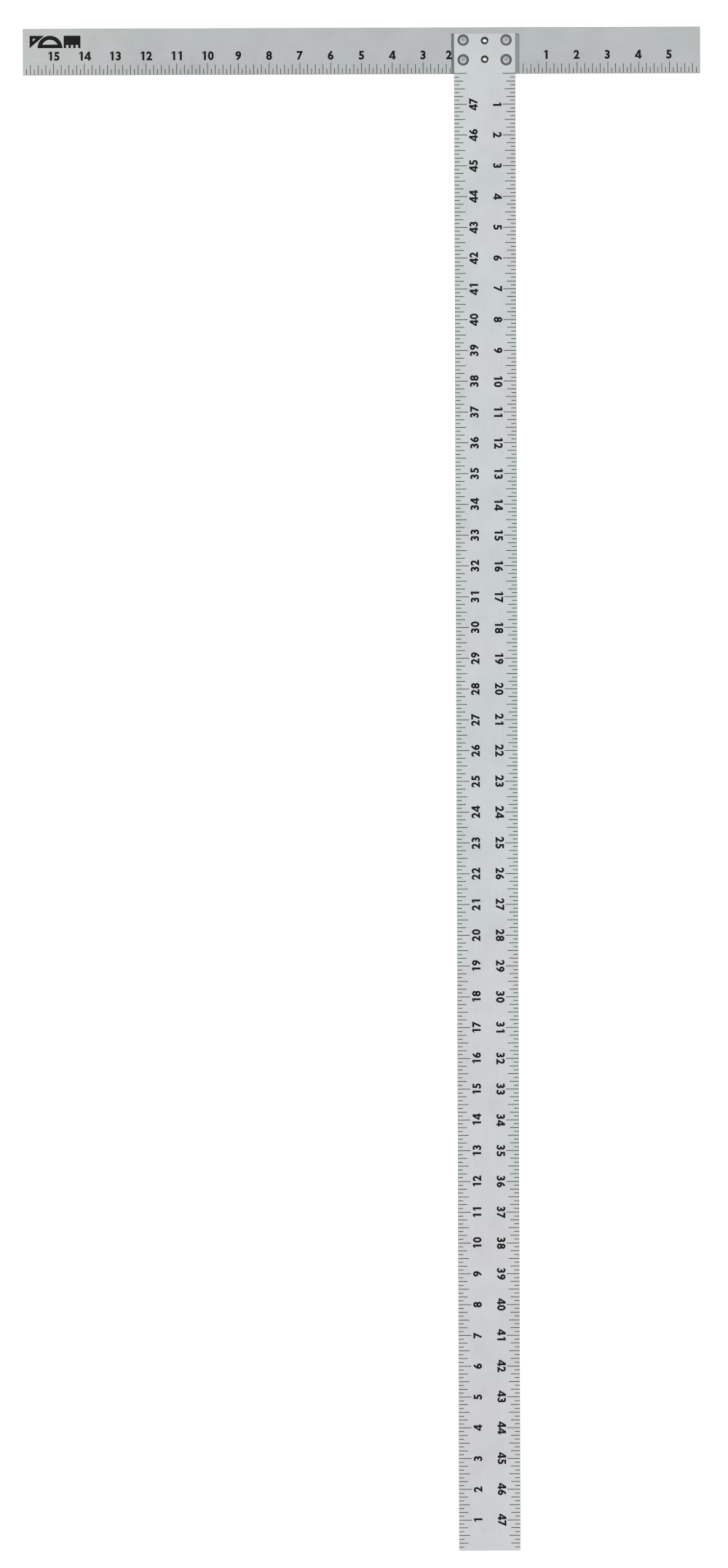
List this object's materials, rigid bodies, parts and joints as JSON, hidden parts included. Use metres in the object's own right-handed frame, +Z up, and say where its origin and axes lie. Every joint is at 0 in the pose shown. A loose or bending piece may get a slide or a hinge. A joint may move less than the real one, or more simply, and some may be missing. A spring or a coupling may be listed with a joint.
{
  "type": "drywall t-square",
  "caption": "Large T-square for marking and cutting sheet board: a channel-section head, with a long flat graduated blade let into it and riveted.",
  "frame": {"origin": "the point where the blade's centreline crosses the fence (the head's face towards the blade), at the level of the head's flanges, which it stands on", "axes": "+Z up, out of the graduated face; the blade runs along -Y from the fence; the head lies along X, with its long arm towards -X"},
  "size_m": [0.5588, 1.2573, 0.0142],
  "materials": {
    "head_alloy": "extruded, satin, with printed black scales",
    "blade_alloy": "fine brushed along its length, with printed black scales",
    "rivet_alloy": "plain, formed",
    "mandrel_steel": "plated, broken end",
    "pin_steel": "blackened spring steel",
    "scale_ink": "black printed ink"
  },
  "bodies": {
    "root": {"head": "head_alloy", "blade": "blade_alloy", "rivet_fence_left": "rivet_alloy", "rivet_fence_right": "rivet_alloy", "rivet_back_left": "rivet_alloy", "rivet_back_right": "rivet_alloy", "mandrel_fence_left": "mandrel_steel", "mandrel_fence_right": "mandrel_steel", "mandrel_back_left": "mandrel_steel", "mandrel_back_right": "mandrel_steel", "pin_fence": "pin_steel", "pin_back": "pin_steel"}
  },
  "joints": []
}
